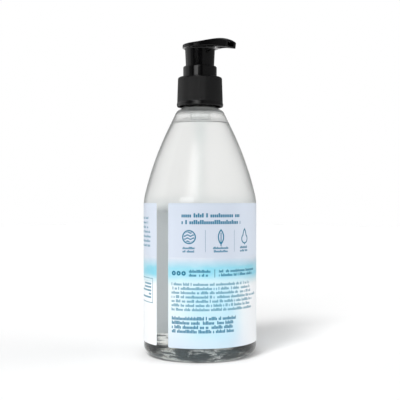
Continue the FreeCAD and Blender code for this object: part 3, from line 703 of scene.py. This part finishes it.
def makeLabel():
    front = newFinish("labelFront")
    grain = front.noise(0.0011, 2.0, 0.6)
    inside = front.node("NewGeometry", out="Backfacing")  # 1 where the print is seen from its back
    front.film(inside * 0.9, rgb(0.82, 0.87, 0.92), Base_Color=paintLabel(front),
               Roughness=grain * 0.1 + 0.38, Specular_IOR_Level=0.35, Normal=front.bump(grain, 0.000004))
    back = newFinish("labelBack")
    weave = back.noise(0.0016, 2.0, 0.6)
    paintedGlow = back.level().fade(*label["paintedGlowEdge"])  # painted glow: emission near the top of the film's back stands in for light that comes down through the clear shoulder
    plain = back.mix(weave, rgb(0.93, 0.94, 0.93), rgb(0.95, 0.96, 0.95))
    back.film(label["backThrough"], rgb(0.96, 0.97, 0.95), Base_Color=plain,
              Emission_Color=back.mix(paintedGlow, rgb(0, 0, 0), rgb(1, 1, 0.98)),
              Emission_Strength=label["paintedGlowStrength"], Roughness=0.6, Normal=back.bump(weave, 0.000004))

    total = math.radians(label["span"]) * label["outer"]
    corner = label["corner"]
    stations = [corner * (1 - math.cos(math.pi / 2 * step / 8)) for step in range(8)]
    columns = label["columns"]
    middle = [corner + (total - 2 * corner) * step / columns for step in range(columns + 1)]
    stations = stations + middle + [total - place for place in reversed(stations)]
    vertices, faces = [], []
    for place in stations:
        along = min(place, total - place, corner)
        inset = corner - math.sqrt(max(corner ** 2 - (corner - along) ** 2, 0))
        turn = math.radians(label["start"]) + place / label["outer"]
        for radius in (label["outer"], label["inner"]):
            for level in (label["low"] + inset, label["high"] - inset):
                vertices.append((radius * math.cos(turn), radius * math.sin(turn), level))
    for column in range(len(stations) - 1):
        here, there = column * 4, column * 4 + 4
        faces.append((here, there, there + 1, here + 1))
        faces.append((here + 3, there + 3, there + 2, here + 2))
        faces.append((here + 1, there + 1, there + 3, here + 3))
        faces.append((here + 2, there + 2, there, here))
    last = len(vertices) - 4
    faces.append((0, 1, 3, 2))
    faces.append((last, last + 2, last + 3, last + 1))

    def pick(centre, normal):
        return 0 if normal.x * centre.x + normal.y * centre.y > 0 else 1

    finishes = [front.owner, back.owner]
    newPiece("label_film", vertices, faces, "bottle", ["label"], finishes, pick)


makeLabel()
print("label made")


pump = {
    "blackGloss": rgb(0.002, 0.002, 0.0022),
    "blackSatin": rgb(0.003, 0.003, 0.0032),
    "rimLevel": 144.1,  # the closure's rim stands out here, and below this it is dull
    "rimStep": 0.22,
    "ribsLow": 146.4,
    "ribsHigh": 159.7,
    "ribsEase": 0.3,
    "ribs": 118,
    "ribDepth": 0.035,
    "springLow": 159.55,
    "springHigh": 176.7,
    "springRadius": 5.7,
    "springWire": 0.8,
    "springTurns": 7.5,
    "springSteps": 300,
    "springSides": 12,
    "stroke": 7.0,
}


def dress(finish, *nodes):
    for node in nodes:
        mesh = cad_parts[node].data
        mesh.materials.clear()
        mesh.materials.append(finish.owner)


def finishHead():
    gloss = newFinish("blackGloss")
    skin = gloss.noise(0.0035, 2.0, 0.5)
    gloss.surface(Base_Color=pump["blackGloss"], Roughness=gloss.noise(0.0015) * 0.05 + 0.07, IOR=1.49,
                  Specular_IOR_Level=0.28, Normal=gloss.bump(skin, 0.000006))
    dress(gloss, "actuator", "collar")


def finishClosure():
    # satin black, with fine upright ribs between a smooth top edge and a smooth foot
    satin = newFinish("blackSatin")
    x, y, z = satin.place()
    level = z * (1 / mm)
    low, high, ease = pump["ribsLow"], pump["ribsHigh"], pump["ribsEase"]
    ribbed = plateau(level, low - ease, low, high, high + ease)
    ribs = (bearing(x, y) * pump["ribs"]).sine() * ribbed
    grain = satin.noise(0.0003, 3.0, 0.6)
    rim = pump["rimLevel"]
    underneath = level.fade(rim + 0.1, rim - 0.3)
    step = level.fade(rim + 0.7, rim) * (pump["rimStep"] / pump["ribDepth"])
    satin.surface(Base_Color=pump["blackSatin"], IOR=1.49, Specular_IOR_Level=0.28,
                  Roughness=ribbed * 0.24 + underneath * 0.45 + grain * 0.06 + 0.13,
                  Normal=satin.bump(ribs + step + grain * 0.15, pump["ribDepth"] * mm))
    dress(satin, "closure")


def finishInside():
    # the clear pieces stand in liquid, so they bend light only a little
    natural = newFinish("naturalPlastic")
    natural.surface(Base_Color=rgb(0.97, 0.98, 0.98), Roughness=natural.noise(0.002) * 0.1 + 0.2, IOR=1.03,
                    Transmission_Weight=1.0)
    dress(natural, "housing", "ball_retainer", "dip_tube", "stem", "valve_rod", "piston")
    ball = newFinish("glassBall")
    ball.surface(Base_Color=rgb(0.97, 0.99, 0.985), Roughness=ball.noise(0.001) * 0.02 + 0.01, IOR=1.06,
                 Transmission_Weight=1.0)
    dress(ball, "inlet_ball")
    foam = newFinish("whiteFoam")
    pores = foam.noise(0.0006, 3.0, 0.7)
    foam.surface(Base_Color=foam.mix(pores, rgb(0.76, 0.76, 0.74), rgb(0.9, 0.9, 0.88)), Roughness=0.75,
                 Normal=foam.bump(pores, 0.00008))
    dress(foam, "gasket")


def makeSpring():
    steel = newFinish("springSteel")
    drawn = steel.noise(0.0008, 2.0, 0.6)
    steel.surface(Base_Color=rgb(0.62, 0.62, 0.63), Roughness=drawn * 0.14 + 0.18, Metallic=1.0,
                  Normal=steel.bump(drawn, 0.000003))
    half = pump["springWire"] / 2
    low, high = pump["springLow"] + half, pump["springHigh"] - half
    sides, steps = pump["springSides"], pump["springSteps"]
    vertices, faces = [], []
    for step in range(steps + 1):
        share = step / steps
        turn = 2 * math.pi * pump["springTurns"] * share
        level = low + (high - low) * share
        for side in range(sides):
            angle = 2 * math.pi * side / sides
            radius = pump["springRadius"] + half * math.cos(angle)
            rise = half * math.sin(angle)
            vertices.append((radius * math.cos(turn), radius * math.sin(turn), level + rise))
    for step in range(steps):
        for side in range(sides):
            here, there = step * sides + side, step * sides + (side + 1) % sides
            faces.append((here, here + sides, there + sides, there))
    faces.append(tuple(range(sides)))
    faces.append(tuple(reversed(range(steps * sides, steps * sides + sides))))
    coil = newPiece("spring_coil", vertices, faces, "pump", ["return_spring"], [steel.owner])
    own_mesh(coil)


finishHead()
finishClosure()
finishInside()
makeSpring()
print("pump finished")


studio = {
    "viewAzimuth": 42.0,
    "lens": 71.9,
    "distance": 0.467,  # in metres, as are the next three
    "height": 0.0894,
    "floorSize": 4.0,
    "floorGap": 0.00005,
    "floorTone": rgb(0.9, 0.9, 0.9),
    "floorGlow": 0.1,
    "glassGlow": 0.1,
    # turn is to the right of the camera, lift is above level; soft edges have two or four values
    "keyTurn": -15.0,
    "keyFade": (25.0, -1.0),
    "keyRise": (8.0, 14.0, 40.0, 56.0),
    "keyLevel": 3.6,
    "stripSweep": (-46.0, -34.0, -16.0, -12.0),
    "stripRise": (6.0, 8.0, 16.0, 18.0),
    "stripLevel": 3.8,
    "behind": (80.0, 125.0),
    "behindLevel": 0.22,
    "backdrop": (32.0, 62.0),
    "backdropLevel": 0.66,
    "backdropLean": 0.26,
    "sideBack": (70.0, 88.0, 130.0, 150.0),
    "sideBackLevel": 0.7,
    "right": (12.0, 24.0),
    "rightLevel": 0.33,
    "left": (50.0, 64.0),
    "leftLevel": 0.25,
    "frontLevel": 0.02,
    "top": (35.0, 60.0),
    "topLevel": 0.21,
    # turn, lift, width and strength
    "suns": {
        "shadow": (-30.0, 49.0, 13.0, 1.25),
        "soft": (-13.0, 50.0, 34.0, 0.68),
        "fill": (88.0, 20.0, 60.0, 1.22),
    },
}


def towards(turn, lift):
    # unit vector from the object, turn degrees to the right of the camera and lift degrees up
    polar = math.radians(studio["viewAzimuth"] - 90 + turn)
    rise = math.radians(lift)
    return Vector((math.cos(polar) * math.cos(rise), math.sin(polar) * math.cos(rise), math.sin(rise)))


def makeCamera():
    data = bpy.data.cameras.new("camera")
    data.lens = studio["lens"]
    data.sensor_width = 36
    data.clip_start = 0.01
    data.clip_end = 20
    camera = bpy.data.objects.new("camera", data)
    camera.location = towards(0, 0) * studio["distance"] + Vector((0, 0, studio["height"]))
    camera.rotation_euler = (math.radians(90), 0, math.radians(studio["viewAzimuth"]))
    bpy.context.scene.collection.objects.link(camera)
    bpy.context.scene.camera = camera


def makeFloor():
    white = newFinish("whiteFloor")
    rays = ("Is Camera Ray", "Is Glossy Ray", "Is Transmission Ray")
    camera, gloss, glass = (white.node("LightPath", out=ray) for ray in rays)
    seen = camera | gloss | glass * studio["glassGlow"]
    paint = white.node("BsdfDiffuse", sockets={"Color": studio["floorTone"]})
    glow = white.node("Emission", sockets={"Strength": seen * studio["floorGlow"]})
    white.output(white.node("AddShader", sockets={0: paint, 1: glow}))
    half = studio["floorSize"] / 2
    mesh = bpy.data.meshes.new("floor")
    corners = [(-half, -half, 0), (half, -half, 0), (half, half, 0), (-half, half, 0)]
    mesh.from_pydata(corners, [], [(0, 1, 2, 3)])
    mesh.materials.append(white.owner)
    floor = bpy.data.objects.new("floor", mesh)
    floor.location.z = -studio["floorGap"]  # just below what the bottle stands on
    bpy.context.scene.collection.objects.link(floor)


def makeWorld():
    world = bpy.data.worlds.new("studio")
    bpy.context.scene.world = world
    room = Finish(world)
    x, y, z = room.place("Generated")
    turn = (bearing(x, y) * (180 / math.pi) + (90 - studio["viewAzimuth"]) + 180) % 360 - 180
    lift = z.maths("ARCSINE", z) * (180 / math.pi)
    behind = abs(turn).fade(*studio["behind"])
    right = turn.fade(*studio["right"])
    left = (0 - turn).fade(*studio["left"])
    front = (1 - right) * (1 - left)
    side = right * studio["rightLevel"] + left * studio["leftLevel"] + front * studio["frontLevel"]
    walls = side * (1 - behind) + behind * studio["behindLevel"]
    walls = walls + plateau(0 - turn, *studio["sideBack"]) * studio["sideBackLevel"]
    top = lift.fade(*studio["top"])
    level = walls * (1 - top) + top * studio["topLevel"]
    key = abs(turn - studio["keyTurn"]).fade(*studio["keyFade"]) * plateau(lift, *studio["keyRise"])
    level = level + key * studio["keyLevel"]
    strip = plateau(turn, *studio["stripSweep"]) * plateau(lift, *studio["stripRise"])
    level = level + strip * studio["stripLevel"]
    # behind glass the room is a backdrop of its own
    glass = room.node("LightPath", out="Is Transmission Ray")
    through = glass * abs(turn).fade(*studio["backdrop"])
    backdrop = (turn * (math.pi / 180)).sine() * studio["backdropLean"] + studio["backdropLevel"]
    level = level + through * (backdrop - level)
    camera = room.node("LightPath", out="Is Camera Ray")
    strength = camera + (1 - camera) * level
    room.output(room.node("Background", sockets={"Color": rgb(1, 1, 1), "Strength": strength}))


def makeSun(name, turn, lift, width, strength):
    # lights surfaces, and shows in no gloss or glass: the key in the world does that
    data = bpy.data.lights.new(name, "SUN")
    data.angle = math.radians(width)
    data.energy = strength
    lamp = bpy.data.objects.new(name, data)
    away = towards(turn, lift)
    lamp.location = away * 1.5
    lamp.rotation_euler = away.to_track_quat("Z", "Y").to_euler()
    lamp.visible_glossy = False
    lamp.visible_transmission = False
    bpy.context.scene.collection.objects.link(lamp)


makeCamera()
makeFloor()
makeWorld()
for name, sun in studio["suns"].items():
    makeSun(name, *sun)
bpy.context.scene.view_settings.view_transform = "Standard"
bpy.context.scene.cycles.max_bounces = 32
bpy.context.scene.cycles.transmission_bounces = 32
bpy.context.scene.cycles.diffuse_bounces = 12
print("studio made")
